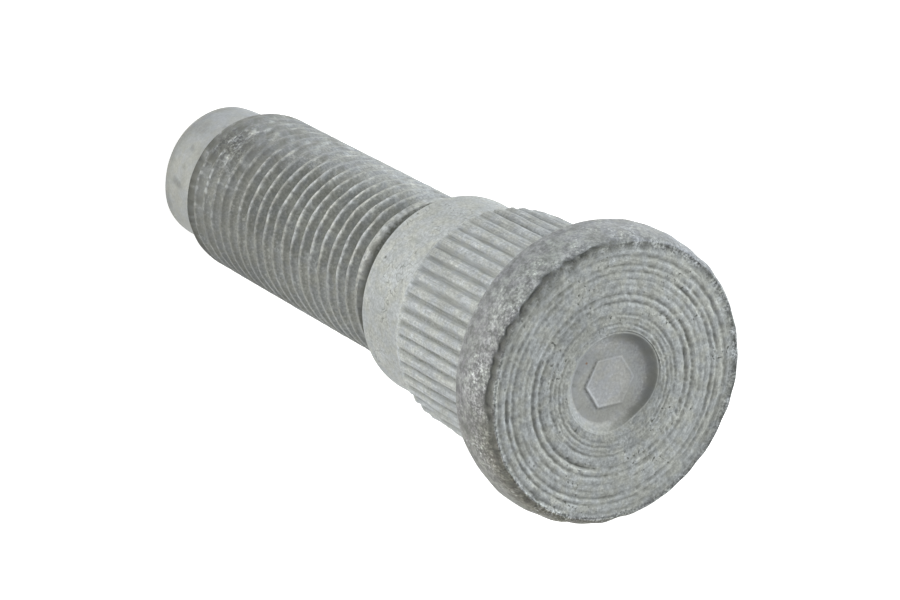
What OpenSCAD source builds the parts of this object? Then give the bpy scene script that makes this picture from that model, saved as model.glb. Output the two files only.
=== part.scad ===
// Wheel stud: a forged and turned bolt that is pressed through a wheel hub from behind.
// It stands on its pilot end at z = 0, and the head is at the top.

/* [Overall] */
// Length from the pilot's end to the face of the head
stud_len = 60.7; // [56:0.1:80]

/* [Head] */
// Outside diameter of the forged head
head_d = 23.6; // [22.6:0.1:27]
// Thickness of the head
head_h = 4.6; // [3.8:0.1:6]
// Diameter of the flat turned face
face_d = 21.5; // [21.4:0.1:22.2]
// Height of the rolled-over front edge
front_roll = 2.4; // [1:0.1:2.8]
// Height of the rounded back edge
back_roll = 0.7; // [0.2:0.05:0.9]
// Depth by which the back edge is rounded inwards
back_in = 0.4; // [0.1:0.05:0.8]

/* [Turned rings in the face] */
// Width of a turned groove at the face
ring_w = 0.34; // [0.2:0.02:0.4]
// Depth of a turned groove
ring_depth = 0.14; // [0.05:0.01:0.2]
// Radius of the first groove of the inner group
inner_r = 4.45; // [4.4:0.01:4.5]
// Distance between the grooves of the inner group
inner_step = 0.37; // [0.36:0.01:0.42]
// Grooves in the inner group
inner_n = 4; // [1:1:4]
// Radius of the first groove of the middle group
middle_r = 6.52; // [6.2:0.01:6.6]
// Distance between the grooves of the middle group
middle_step = 0.6; // [0.5:0.01:0.7]
// Grooves in the middle group
middle_n = 2; // [1:1:3]
// Radius of the first groove of the outer group
outer_r = 8.85; // [8.7:0.01:8.9]
// Distance between the grooves of the outer group
outer_step = 0.57; // [0.5:0.01:0.6]
// Grooves in the outer group
outer_n = 3; // [1:1:3]

/* [Recess in the head] */
// Diameter of the recess at the face
recess_d = 7.8; // [7:0.1:8]
// Diameter of the recess floor
recess_floor_d = 6; // [5.6:0.1:6.4]
// Depth of the recess
recess_depth = 0.68; // [0.3:0.01:0.9]
// Corner to corner size of the hexagon on the floor
hex_d = 4.3; // [3.6:0.1:5]
// Width of the raised line of the hexagon
hex_line = 0.2; // [0.15:0.01:0.3]
// Height of the raised line
hex_h = 0.08; // [0.04:0.01:0.15]
// Turn of the hexagon about the axis, in degrees
hex_turn = 5; // [0:1:59]

/* [Neck and knurl] */
// Diameter of the plain neck under the head
neck_d = 18; // [17.7:0.1:18.1]
// Fillet between the neck and the head's seat
neck_fillet = 0.9; // [0.3:0.05:1]
// Gap from the seat to the ribs
neck_len = 2.8; // [2:0.1:4]
// Diameter over the ribs
knurl_d = 18.2; // [18.1:0.05:18.6]
// Distance from the seat to the ribs' far end
knurl_end = 12.2; // [9:0.1:14]
// Number of ribs
rib_n = 51; // [40:1:54]
// Width of the groove between two ribs, at the top
groove_w = 0.44; // [0.3:0.02:0.5]
// Width of the same groove at its bottom
groove_floor = 0.2; // [0.1:0.02:0.24]
// Depth of the groove
groove_depth = 0.36; // [0.25:0.01:0.42]
// Turn of the ribs about the axis, in degrees
rib_turn = 4.7; // [0:0.1:7]
// Length of the slope at the ribs' near end
rib_lead = 0.35; // [0.2:0.05:0.6]

/* [Collar] */
// Diameter of the plain collar
collar_d = 16.5; // [15.5:0.1:16.9]
// Distance from the seat to the collar's shoulder
collar_end = 18.9; // [16:0.1:20]
// Rounding of the shoulder's edge
shoulder_r = 0.65; // [0.2:0.05:0.8]

/* [Thread] */
// Thread size, over the crests
thread_d = 14; // [12:0.5:14]
// Thread pitch
thread_pitch = 1.5; // [1:0.25:1.5]
// Length of the relief groove's floor, beside the shoulder
relief_len = 2; // [1:0.1:3]
// Length of the pilot beyond the thread
pilot_len = 5.8; // [3:0.1:8]
// Slope at the thread's end
thread_lead = 0.3; // [0.1:0.05:0.5]
// Rounding of the pilot's end
pilot_round = 0.2; // [0.1:0.05:0.8]

/* [Hidden] */
$fn = 72;
eps = 0.02;

seat_z = stud_len - head_h;
knurl_near_z = seat_z - neck_len;
knurl_far_z = seat_z - knurl_end;
shoulder_z = seat_z - collar_end;
relief_z = shoulder_z - relief_len;

// an outside thread's core is 1.2269 pitches smaller than the thread
thread_core_r = thread_d / 2 - 0.6134 * thread_pitch;
pilot_d = 2 * (thread_core_r - 0.05);
flank_len = (thread_d / 2 - thread_core_r) * tan(30);

// slope at the ribs' far end, as steep as it is high
knurl_drop = (knurl_d - collar_d) / 2;

// quarter ellipse from (r0, z0) to (r1, z1); it leaves the first point upright
function quarter(r0, z0, r1, z1, n) =
    [for (i = [0:n]) [r1 + (r0 - r1) * cos(90 * i / n), z0 + (z1 - z0) * sin(90 * i / n)]];

// half section of the head above the seat, from the neck out to the face
head_section = concat(
    [[0, seat_z], [head_d / 2 - back_in, seat_z]],
    quarter_in(head_d / 2 - back_in, seat_z, head_d / 2, seat_z + back_roll, 3),
    quarter(head_d / 2, stud_len - front_roll, face_d / 2, stud_len, 7),
    [[0, stud_len]]
);

// the same quarter, leaving the first point level
function quarter_in(r0, z0, r1, z1, n) =
    [for (i = [1:n]) [r0 + (r1 - r0) * sin(90 * i / n), z1 + (z0 - z1) * cos(90 * i / n)]];

// half section of neck, knurl blank, collar, thread and pilot
shank_section = concat(
    [[0, 0], [pilot_d / 2 - pilot_round, 0]],
    quarter_in(pilot_d / 2 - pilot_round, 0, pilot_d / 2, pilot_round, 4),
    [
        [pilot_d / 2, pilot_len],
        [thread_d / 2 - thread_lead, pilot_len],
        [thread_d / 2, pilot_len + thread_lead],
        [thread_d / 2, relief_z - flank_len],
        [thread_core_r, relief_z],
        [thread_core_r, shoulder_z],
        [collar_d / 2 - shoulder_r, shoulder_z]
    ],
    quarter_in(collar_d / 2 - shoulder_r, shoulder_z, collar_d / 2, shoulder_z + shoulder_r, 5),
    [
        [collar_d / 2, knurl_far_z - knurl_drop],
        [knurl_d / 2, knurl_far_z],
        [knurl_d / 2, knurl_near_z - rib_lead],
        [neck_d / 2, knurl_near_z],
        [neck_d / 2, seat_z - neck_fillet]
    ],
    [for (i = [1:4])
        [neck_d / 2 + neck_fillet * (1 - cos(22.5 * i)), seat_z - neck_fillet * (1 - sin(22.5 * i))]],
    [[neck_d / 2 + neck_fillet, seat_z + 1], [0, seat_z + 1]]
);

// half section of the shallow recess, open at the face
recess_section = concat(
    [[0, stud_len + 1], [0, stud_len - recess_depth], [recess_floor_d / 2, stud_len - recess_depth]],
    quarter_in(recess_floor_d / 2, stud_len - recess_depth, recess_d / 2 - 0.1, stud_len - 0.12, 4),
    [[recess_d / 2, stud_len], [recess_d / 2, stud_len + 1]]
);

module ring_groove(r) {
    rotate_extrude()
        polygon([
            [r - ring_w / 2, stud_len],
            [r, stud_len - ring_depth],
            [r + ring_w / 2, stud_len],
            [r + ring_w / 2, stud_len + 1],
            [r - ring_w / 2, stud_len + 1]
        ]);
}

module turned_rings() {
    for (i = [0:inner_n - 1])
        ring_groove(inner_r + i * inner_step);
    for (i = [0:middle_n - 1])
        ring_groove(middle_r + i * middle_step);
    for (i = [0:outer_n - 1])
        ring_groove(outer_r + i * outer_step);
}

module rib_grooves() {
    floor_r = knurl_d / 2 - groove_depth;
    for (i = [0:rib_n - 1])
        rotate([0, 0, rib_turn + 360 * i / rib_n])
            translate([0, 0, knurl_far_z - knurl_drop])
                linear_extrude(height = knurl_near_z - knurl_far_z + knurl_drop + eps)
                    polygon([
                        [floor_r, -groove_floor / 2],
                        [knurl_d / 2, -groove_w / 2],
                        [knurl_d / 2 + 1, -groove_w / 2],
                        [knurl_d / 2 + 1, groove_w / 2],
                        [knurl_d / 2, groove_w / 2],
                        [floor_r, groove_floor / 2]
                    ]);
}

module hexagon_mark() {
    translate([0, 0, stud_len - recess_depth - eps])
        rotate([0, 0, hex_turn])
            difference() {
                cylinder(d = hex_d, h = hex_h + eps, $fn = 6);
                translate([0, 0, -1])
                    cylinder(d = hex_d - 2 * hex_line / cos(30), h = hex_h + 2, $fn = 6);
            }
}

module wheel_stud() {
    color([0.66, 0.67, 0.65]) {
        difference() {
            union() {
                rotate_extrude()
                    polygon(shank_section);
                rotate_extrude()
                    polygon(head_section);
            }
            rotate_extrude()
                polygon(recess_section);
            turned_rings();
            rib_grooves();
        }
        hexagon_mark();
    }
}

wheel_stud();
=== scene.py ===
"""Worn wheel stud: forged head with turned rings, straight knurl, plain collar, fine thread, pilot.

The stud is one closed surface of revolution whose radius and height are worked out as whole numpy
arrays. It stands on its pilot end, with the head up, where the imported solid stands.
"""

import math

import bpy
import numpy as np
from mathutils import Matrix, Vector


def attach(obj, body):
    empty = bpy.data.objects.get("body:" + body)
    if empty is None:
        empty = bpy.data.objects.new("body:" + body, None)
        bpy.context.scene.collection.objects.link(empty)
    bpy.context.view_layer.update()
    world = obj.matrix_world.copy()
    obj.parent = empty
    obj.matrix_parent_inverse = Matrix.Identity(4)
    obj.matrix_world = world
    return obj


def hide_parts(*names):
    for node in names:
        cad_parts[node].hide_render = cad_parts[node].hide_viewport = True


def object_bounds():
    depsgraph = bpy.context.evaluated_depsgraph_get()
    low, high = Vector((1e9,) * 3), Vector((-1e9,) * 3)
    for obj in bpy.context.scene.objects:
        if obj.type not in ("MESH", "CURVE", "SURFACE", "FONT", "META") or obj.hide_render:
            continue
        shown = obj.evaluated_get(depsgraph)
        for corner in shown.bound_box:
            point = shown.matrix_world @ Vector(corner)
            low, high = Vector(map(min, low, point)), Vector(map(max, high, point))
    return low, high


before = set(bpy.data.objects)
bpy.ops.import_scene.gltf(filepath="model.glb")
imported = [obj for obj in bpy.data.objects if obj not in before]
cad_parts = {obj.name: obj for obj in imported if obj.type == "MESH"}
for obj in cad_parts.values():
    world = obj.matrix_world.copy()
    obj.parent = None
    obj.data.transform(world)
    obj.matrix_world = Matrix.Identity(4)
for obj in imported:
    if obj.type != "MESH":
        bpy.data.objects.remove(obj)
CAD_LOW, CAD_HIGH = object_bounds()

bl_info = {
    "name": "Wheel Stud",
    "version": (1, 0, 0),
    "blender": (4, 5, 0),
    "location": "View3D > Sidebar > Wheel Stud",
    "description": "Builds a worn press-in wheel stud and a plain studio round it",
    "category": "Object",
}

MM = 0.001
NODE = "wheel_stud"
SLOT = "coated_steel"
RIBS = 51
RIB_TURN = 4.7
HEXAGON_TURN = 5.0
PER_RIB = 8
FINE = PER_RIB * RIBS
COARSE = FINE // 2


# properties


def size(name, description, value):
    """A length property."""
    return bpy.props.FloatProperty(name=name, description=description, default=value, unit="LENGTH")


class StudSizes(bpy.types.PropertyGroup):
    """Driving sizes of the stud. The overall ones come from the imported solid."""

    length: size("Length", "From the pilot's end to the face of the head", float(CAD_HIGH[2] - CAD_LOW[2]))
    head_radius: size("Head radius", "Largest radius of the forged head", float(CAD_HIGH[0] - CAD_LOW[0]) / 2)
    head_height: size("Head thickness", "Seat to face", 4.6 * MM)
    face_radius: size("Face radius", "Radius of the turned face, inside the rolled edge", 10.72 * MM)
    front_roll: size("Front roll", "Height of the rolled front edge", 2.4 * MM)
    back_roll: size("Back roll", "Height of the rounded back edge", 0.7 * MM)
    back_in: size("Back edge inset", "How far the back edge is rounded inwards", 0.4 * MM)
    recess_radius: size("Recess radius", "At the face", 3.87 * MM)
    recess_floor: size("Recess floor radius", "Flat floor", 3.0 * MM)
    recess_depth: size("Recess depth", "Face to floor", 0.68 * MM)
    hexagon: size("Hexagon", "Centre to corner of the mark", 2.17 * MM)
    neck_radius: size("Neck radius", "Plain neck under the head", 9.1 * MM)
    neck_length: size("Neck length", "Seat to the ribs", 2.8 * MM)
    knurl_radius: size("Knurl radius", "Over the ribs", 9.1 * MM)
    knurl_end: size("Knurl end", "Seat to the ribs' far end", 12.2 * MM)
    groove_depth: size("Groove depth", "Between two ribs", 0.36 * MM)
    collar_radius: size("Collar radius", "Plain collar", 8.25 * MM)
    collar_end: size("Collar end", "Seat to the shoulder", 18.9 * MM)
    thread_radius: size("Thread radius", "Over the crests", 7.0 * MM)
    thread_pitch: size("Pitch", "Rise of one turn, right-handed", 1.5 * MM)
    pilot_length: size("Pilot length", "Smooth end", 5.8 * MM)
    pilot_round: size("Pilot rounding", "Of the edge at the end", 0.2 * MM)
    relief_length: size("Relief length", "Thread's end to the shoulder", 2.0 * MM)
    shoulder_round: size("Shoulder rounding", "Of the collar's edge", 0.65 * MM)
    rib_lead: size("Rib lead", "Slope at the ribs' near end", 0.35 * MM)
    rib_gap: size("Rib gap", "How far the ribs end short of those of the solid", 0.30 * MM)
    neck_fillet: size("Neck fillet", "Between neck and seat", 0.9 * MM)


def shade(name, description, value):
    """A colour property with the usual limits."""
    return bpy.props.FloatVectorProperty(
        name=name, description=description, default=value, size=3, min=0.0, max=1.0, subtype="COLOR"
    )


class StudFinish(bpy.types.PropertyGroup):
    """Colours of the coating in each zone, as linear values."""

    face: shade("Face", "Turned face of the head", (0.420, 0.434, 0.409))
    floor: shade("Recess", "Floor of the recess", (0.392, 0.397, 0.386))
    side: shade("Head side", "Forged side of the head", (0.300, 0.308, 0.298))
    knurl: shade("Knurl", "Ribs", (0.424, 0.450, 0.453))
    collar: shade("Collar", "Plain collar", (0.474, 0.499, 0.491))
    thread: shade("Thread", "Flanks of the thread", (0.250, 0.262, 0.250))
    worn: shade("Worn thread", "Rubbed side of the thread", (0.335, 0.355, 0.357))
    # The crest colour also stands for painted highlights on crests, on ridges and on the lit side of the
    # face.
    crest: shade("Crests", "Rubbed crests and high spots", (0.560, 0.585, 0.575))
    pilot: shade("Pilot", "Smooth end", (0.500, 0.520, 0.505))
    # The grime colour also stands for painted shade in hollows, grooves and the lap.
    grime: shade("Grime", "Dark dust in grooves and pits", (0.120, 0.125, 0.108))
    rust: shade("Rust", "Tiny rust specks", (0.230, 0.110, 0.045))
    roughness: bpy.props.FloatProperty(
        name="Roughness", description="Of the coating", default=0.60, min=0.0, max=1.0, subtype="FACTOR"
    )
    metallic: bpy.props.FloatProperty(
        name="Metal", description="Share of metal sheen", default=0.15, min=0.0, max=1.0, subtype="FACTOR"
    )


class StudioSettings(bpy.types.PropertyGroup):
    """Camera and light of the plain studio."""

    lens: bpy.props.FloatProperty(
        name="Lens", description="Focal length in millimetres", default=160.0, min=20.0
    )
    key: bpy.props.FloatProperty(
        name="Key", description="Large lamp above the right", default=2.2, min=0.0, unit="POWER"
    )
    strip: bpy.props.FloatProperty(
        name="Strips", description="Brightest of the low lamps", default=0.62, min=0.0, unit="POWER"
    )
    sky: bpy.props.FloatProperty(
        name="Sky", description="Strength of the surroundings", default=0.48, min=0.0
    )
    cool: shade("Key colour", "Slightly cool light from above", (0.93, 0.97, 1.0))
    warm: shade("Strip colour", "Slightly warm light from below", (1.0, 0.97, 0.91))


# surface arithmetic


def smooth(x, low, high):
    """Rises from 0 at low to 1 at high along 3t^2 - 2t^3."""
    t = np.clip((x - low) / (high - low), 0.0, 1.0)
    return t * t * (3.0 - 2.0 * t)


def fall(x, low, high):
    """Falls from 1 at low to 0 at high in the same way."""
    return smooth(-x, -high, -low)


def bump_at(x, centre, half_width):
    """A rounded hill of height 1 at centre, gone at half_width on each side: (1 - t^2)^2."""
    t = np.clip(np.abs(x - centre) / half_width, 0.0, 1.0)
    return (1.0 - t * t) ** 2


def turn_gap(angle, centre):
    """Smallest signed angle from centre to angle."""
    return (angle - centre + math.pi) % (2.0 * math.pi) - math.pi


def towards(angle, azimuth):
    """Cosine of the turn away from an azimuth in degrees."""
    return np.cos(turn_gap(angle, math.radians(azimuth)))


def off_axis(angle, away):
    """Reach in each direction of a circle that sits off the axis, from its way and distance."""
    azimuth, distance = away
    return distance * MM * towards(angle, azimuth)


def facing(angle, side):
    """Share of a side: its azimuth in degrees, and the cosines at which it begins and is full."""
    azimuth, begins, full = side
    return smooth(towards(angle, azimuth), begins, full)


def patch_at(angle, azimuth, half_width):
    """A rounded hill round an azimuth, both in degrees."""
    return bump_at(turn_gap(angle, math.radians(azimuth)), 0.0, math.radians(half_width))


def hill_at(angle, azimuth, width):
    """A bell, exp(-(gap / width)^2), round an azimuth, both in degrees."""
    return np.exp(-((turn_gap(angle, math.radians(azimuth)) / math.radians(width)) ** 2))


def hills(angle, places, shape):
    """Sum of hills of a shape, each with its azimuth and width in degrees and its height in millimetres."""
    return MM * sum(height * shape(angle, azimuth, width) for azimuth, width, height in places)


def zone_at(angle, along, zone):
    """A rounded patch: azimuth and half width in degrees, place and half length in millimetres."""
    azimuth, width, place, half_length = zone
    return patch_at(angle, azimuth, width) * bump_at(along, place * MM, half_length * MM)


def uneven(angle, along, seed, waves=14, most_turns=12, reach=2.0 * MM):
    """Smooth unevenness between about -1 and 1: a sum of waves, each a whole number of times round."""
    rng = np.random.default_rng(seed)
    total = np.zeros(np.broadcast(angle, along).shape)
    for _ in range(waves):
        turns = rng.integers(0, most_turns + 1)
        slope = rng.normal(0.0, 1.0) / reach
        total = total + np.cos(turns * angle + slope * along + rng.uniform(0.0, 2.0 * math.pi))
    return total / math.sqrt(waves) * 0.8


def quarter(start, end, steps, leaves_level):
    """Quarter ellipse from start to end as radius and height rows.

    It leaves the start along the radius when leaves_level is true, and along the axis when not.
    """
    t = np.linspace(0.0, math.pi / 2.0, steps + 1)[1:]
    (r0, z0), (r1, z1) = start, end
    if leaves_level:
        return r0 + (r1 - r0) * np.sin(t), z1 + (z0 - z1) * np.cos(t)
    return r1 + (r0 - r1) * np.cos(t), z0 + (z1 - z0) * np.sin(t)


def seat_height(s):
    """Height of the head's seat above the pilot's end."""
    return s.length - s.head_height


def rib_angles():
    """Azimuths of the fine columns, eight to a rib, gathered at the edges of each groove."""
    pitch = 2.0 * math.pi / RIBS
    rng = np.random.default_rng(5)
    starts = np.arange(RIBS) * pitch + math.radians(RIB_TURN) + rng.normal(0.0, math.radians(0.22), RIBS)
    within = np.radians([-0.60, 0.60, 1.55, 2.30, 3.0, 4.05, 4.75, 5.50])
    spread = np.array([-0.6, 0.6, 1.0, 0.5, 0.0, 0.0, -0.5, -1.0])
    sway = rng.normal(0.0, math.radians(0.16), (RIBS, 1)) * spread
    return (starts[:, None] + within[None, :] + sway).reshape(-1)


EVEN_FINE = np.arange(FINE) * (2.0 * math.pi / FINE) + math.radians(4.0)
RIB_FINE = rib_angles()


NO_MARKS = (0.0, 0.0, 0.0, 0.0, 0.0)

# Points that are equal to about this many metres are made one point.
SAME_POINT = 0.02 * 1e-6


# The shank isn't quite straight: height and sideways reach of its axis, both in millimetres.
LEAN_HEIGHTS = (0.0, 5.8, 7.5, 14.0, 30.0, 37.0, 43.0, 53.0, 56.0)
LEAN_REACH = (0.06, 0.06, 0.05, 0.02, 0.02, 0.05, 0.06, 0.07, 0.0)


class Skin:
    """Collects rows of points that go up the outside of the stud, and joins each row to the next."""

    def __init__(self):
        self.points, self.marks, self.coats, self.faces = [], [], [], []
        self.count = 0
        self.last = None

    def _store(self, radius, height, angle, marks, coat):
        shape = np.broadcast(radius, height, angle).shape
        radius, height, angle = (np.broadcast_to(a, shape) for a in (radius, height, angle))
        lean = MM * np.interp(height / MM, LEAN_HEIGHTS, LEAN_REACH)
        xyz = np.stack([radius * np.cos(angle) - lean, radius * np.sin(angle), height], axis=-1)
        grid = self.count + np.arange(xyz[..., 0].size).reshape(shape)
        self.points.append(xyz.reshape(-1, 3))
        mark = np.stack([np.broadcast_to(m, shape) for m in marks], axis=-1)
        self.marks.append(mark.reshape(-1, 5))
        self.coats.append(np.broadcast_to(coat, shape + (3,)).reshape(-1, 3))
        self.count += grid.size
        return grid

    def _quads(self, a, b, c, d):
        """Two triangles for each four-sided cell a, b, c, d taken anticlockwise from outside."""
        self.faces.append(np.stack([a, b, c], axis=-1).reshape(-1, 3))
        self.faces.append(np.stack([a, c, d], axis=-1).reshape(-1, 3))

    def _join(self, low, high):
        """Joins two closed rows; a row may have twice the columns of its neighbour, or be one point."""
        if low.size == high.size:
            self._quads(low, np.roll(low, -1), np.roll(high, -1), high)
        elif high.size == 2 * low.size:
            nxt, mid, end = np.roll(low, -1), high[1::2], np.roll(high, -1)[1::2]
            for tri in ((low, mid, high[::2]), (low, nxt, mid), (nxt, end, mid)):
                self.faces.append(np.stack(tri, axis=-1))
        elif low.size == 2 * high.size:
            nxt, mid, end = np.roll(high, -1), low[1::2], np.roll(low, -1)[1::2]
            for tri in ((low[::2], mid, high), (mid, nxt, high), (mid, end, nxt)):
                self.faces.append(np.stack(tri, axis=-1))
        else:
            raise ValueError("rows do not match")

    def rows(self, radius, height, angle, marks=NO_MARKS, coat=(0.5, 0.5, 0.5)):
        """Adds flat rows: arrays of rows by columns, lowest first along the section."""
        grid = self._store(radius, height, angle, marks, coat)
        if self.last is not None:
            self._join(self.last, grid[0])
        for low, high in zip(grid[:-1], grid[1:]):
            self._join(low, high)
        self.last = grid[-1]

    def helix_rows(self, radius, height, angle, per_turn, marks, coat):
        """Adds rows that climb by per_turn rows in a turn: the last column meets a higher first one."""
        grid = self._store(radius, height, angle, marks, coat)
        self._join(self.last, grid[0])
        self._quads(grid[:-1, :-1], grid[:-1, 1:], grid[1:, 1:], grid[1:, :-1])
        up = per_turn
        low, high = grid[up:-1, 0], grid[up + 1 :, 0]
        self._quads(grid[: -up - 1, -1], low, high, grid[1:-up, -1])
        self.last = grid[-1]

    def tip(self, height, marks=NO_MARKS, coat=(0.5, 0.5, 0.5)):
        """Closes the surface with one point on the axis, before the first row or after the last."""
        grid = self._store(np.zeros(1), np.full(1, height), np.zeros(1), marks, coat)
        row = self.last
        if row is not None:
            self.faces.append(np.stack([row, np.roll(row, -1), np.full_like(row, grid[0])], axis=-1))
        return int(grid[0])

    def base(self, point, row):
        """Fan from a point on the axis out to the first row, facing down."""
        self.faces.append(np.stack([np.full_like(row, point), np.roll(row, -1), row], axis=-1))

    def mesh(self, name):
        """Merges equal points, drops cells that shrank to nothing, and fills a mesh."""
        points, faces = np.concatenate(self.points), np.concatenate(self.faces)
        _, first, back = np.unique(
            np.round(points / SAME_POINT).astype(np.int64), axis=0, return_index=True, return_inverse=True
        )
        faces = back.reshape(-1)[faces]
        keep = (faces[:, 0] != faces[:, 1]) & (faces[:, 1] != faces[:, 2]) & (faces[:, 2] != faces[:, 0])
        faces = faces[keep]
        used, again = np.unique(faces, return_inverse=True)
        first, faces = first[used], again.reshape(faces.shape)
        mesh = bpy.data.meshes.new(name)
        mesh.vertices.add(len(first))
        mesh.vertices.foreach_set("co", points[first].astype(np.float32).ravel())
        mesh.loops.add(faces.size)
        mesh.loops.foreach_set("vertex_index", faces.astype(np.int32).ravel())
        mesh.polygons.add(len(faces))
        mesh.polygons.foreach_set("loop_start", np.arange(0, faces.size, 3, dtype=np.int32))
        mesh.update(calc_edges=True)
        if mesh.validate():
            raise RuntimeError("the stud's mesh had to be repaired")
        marks, coats = np.concatenate(self.marks)[first], np.concatenate(self.coats)[first]
        ribbed = np.concatenate([coats, marks[:, 4:]], axis=1)
        for label, data in (("marks", marks[:, :4]), ("coat", ribbed)):
            layer = mesh.attributes.new(label, "FLOAT_COLOR", "POINT")
            layer.data.foreach_set("color", data.astype(np.float32).ravel())
        return mesh


# places on the stud

# Tangent of the half angle of the thread, and the thread's depth as a share of its pitch.
FLANK_SLOPE = math.tan(math.radians(30.0))
CORE_SHARE = 0.6134

# Sides of the stud: azimuth in degrees, and the cosines at which the side begins and is full.
PILOT_PAINTED_SHADE = (-150.0, 0.2, 0.95)
PILOT_PAINTED_COOL_LIGHT = (-160.0, 0.3, 0.9)
THREAD_LOW = (-20.0, 0.35, 0.95)
COLLAR_TOP = (-168.0, 0.55, 0.95)
COLLAR_LOW = (-25.0, 0.4, 0.95)
COLLAR_LOOP = (-126.0, 0.97, 0.985)
KNURL_LOW = (-45.0, 0.6, 0.98)
KNURL_TOP = (-170.0, 0.6, 0.95)
HEAD_UNDER = (-8.0, 0.45, 0.95)
HEAD_BRIGHT = (-84.0, 0.80, 0.97)
HEAD_TOP = (-172.0, 0.6, 0.95)
HEAD_LEFT = (-75.0, 0.7, 0.98)
HEAD_LOW_LEFT = (-45.0, 0.70, 0.95)
LAP_TAIL = (-45.0, 0.75, 0.98)
LAP_OUTWARD = (-45.0, 0.5, 0.95)
FACE_OUTER_GROOVE = (150.0, 0.1, 0.7)
LAP_DARK = (-118.0, 0.55, 0.92)
FACE_LIT = (-50.0, 0.1, 0.9)
FACE_FAR = (165.0, 0.0, 0.6)
FACE_LOW_RIM = (70.0, 0.1, 0.9)
FACE_SHADY = (125.0, -0.1, 0.7)
RECESS_LIT = (-40.0, 0.0, 0.9)
RECESS_WIDE = (130.0, 0.2, 0.9)
RECESS_SHADY = (135.0, -0.2, 0.8)

# Hills: azimuth and width in degrees, height in millimetres.
PILOT_DENT = ((-62.0, 36.0, 0.12),)
PILOT_SWELLS = ((-38.0, 17.0, 0.10), (-172.0, 16.0, -0.16), (-2.0, 14.0, -0.06))
HEAD_SWELLS = ((0.0, 14.0, 0.07), (89.0, 22.0, -0.45))
HEAD_LOW_PLACES = ((-55.0, 45.0, 0.10), (-141.0, 37.0, 0.14), (-20.0, 22.0, 0.11))
RIM_OUT = ((150.0, 75.0, 0.20),)
RIM_IN = ((66.0, 30.0, 0.36),)

# Patches: azimuth and half width in degrees, then place and half length in millimetres if it has them.
PILOT_SMEAR = (-113.0, 9.0, 2.0, 1.6)
THREAD_HURT = (-112.0, 34.0, 8.8, 4.6)
THREAD_PATCH = (-146.0, 15.0, 12.5, 3.4)
THREAD_CREASE = (-97.0, 3.4)
KNURL_PALE = (-122.0, 30.0)
HEAD_DUSKY = (-118.0, 38.0)
FACE_UPPER_LEFT = (-105.0, 55.0, 6.6, 1.7)
FACE_LOWER_RIGHT = (72.0, 55.0, 5.2, 1.8)
LAP_SMEAR = (-120.0, 34.0, -0.45, 0.42)

# How the forged head and its turned rings sit off the axis: way in degrees, distance in millimetres.
HEAD_AWAY = (145.0, 0.36)
RINGS_AWAY = (22.0, 0.19)

# Depth of the lap, and how far the lip lies outside the face's radius.
LAP_DEPTH = 0.32 * MM
LIP_REACH = 0.10 * MM


# the zones of the stud
# marks holds five numbers for each point: shares of darkening in hollows (painted shade and dirt), rubbed
# (wear and painted highlight), forged grit and turned, and one that is a share of ribs when it is above zero
# and of crumbs when it is below


def add_pilot(skin, s, f):
    """End that is out of true on one side, rounded edge that swells and sinks, and wavy smooth wall."""
    angle = EVEN_FINE[::2]
    core = s.thread_radius - CORE_SHARE * s.thread_pitch
    radius, edge = core - 0.05 * MM, s.pilot_round
    coat = np.array(f.pilot)
    askew = hills(angle, PILOT_DENT, hill_at)
    centre = skin.tip(0.0, coat=coat)
    # Painted shade: the pilot's top side is made darker.
    painted_shade = 0.88 - 0.16 * facing(angle, PILOT_PAINTED_SHADE)
    flat = np.array([0.35, 0.7, 1.0])[:, None] * (radius - edge)
    first = skin.count
    skin.rows(flat + 0.0 * angle, askew * (flat / radius) ** 3, angle, coat=coat)
    skin.base(centre, first + np.arange(COARSE))
    r, z = quarter((radius - edge, 0.0), (radius, edge), 4, True)
    bulge = hills(angle, PILOT_SWELLS, hill_at)
    skin.rows(r[:, None] + bulge, z[:, None] + askew, angle, coat=0.72 * coat)
    z = np.linspace(0.7 * MM, s.pilot_length, 16)[:, None]
    fade = smooth(z, 0.6 * MM, 1.6 * MM) * smooth(s.pilot_length - z, 0.0, 1.0 * MM)
    cloudy = 1.0 + 0.09 * uneven(angle, z, 12, most_turns=9, reach=1.2 * MM)
    smudge = smooth(uneven(angle, z, 13, waves=40, most_turns=26, reach=0.55 * MM), 0.55, 1.3)
    cloudy = cloudy * (1.0 - 0.28 * smudge)
    far_rim = 1.0 - 0.22 * fall(z, 0.0, 1.6 * MM)
    cloudy = cloudy * far_rim * (1.0 - 0.16 * zone_at(angle, z, PILOT_SMEAR))
    coat = coat * (painted_shade * cloudy)[..., None]
    # Painted cool light: the pilot's top side is tinted bluer.
    painted_cool_light = facing(angle, PILOT_PAINTED_COOL_LIGHT)[:, None]
    coat = coat * (1.0 + painted_cool_light * np.array([-0.01, 0.0, 0.05]))
    r = radius - 0.03 * MM * fade * (0.5 + 0.5 * uneven(angle, z, 11, most_turns=7, reach=1.5 * MM))
    # Painted shade where the pilot meets the thread's first turn.
    painted_shade_at_thread = 0.55 * smooth(z, s.pilot_length - 0.35 * MM, s.pilot_length)
    r = r + bulge * (1.0 - smooth(z, 1.0 * MM, 3.5 * MM))
    skin.rows(r, z, angle, (painted_shade_at_thread + 0.0 * angle, 0.0, 0.0, 0.0, 0.0), coat)
    return core


# One turn of the thread: millimetres along the axis from the middle of a crest, and share of its depth.
THREAD_FORM = (
    (0.00, 0.000),
    (0.11, 0.000),
    (0.18, 0.075),
    (0.25, 0.207),
    (0.64, 0.940),
    (0.86, 0.940),
    (1.32, 0.075),
    (1.39, 0.000),
)


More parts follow.
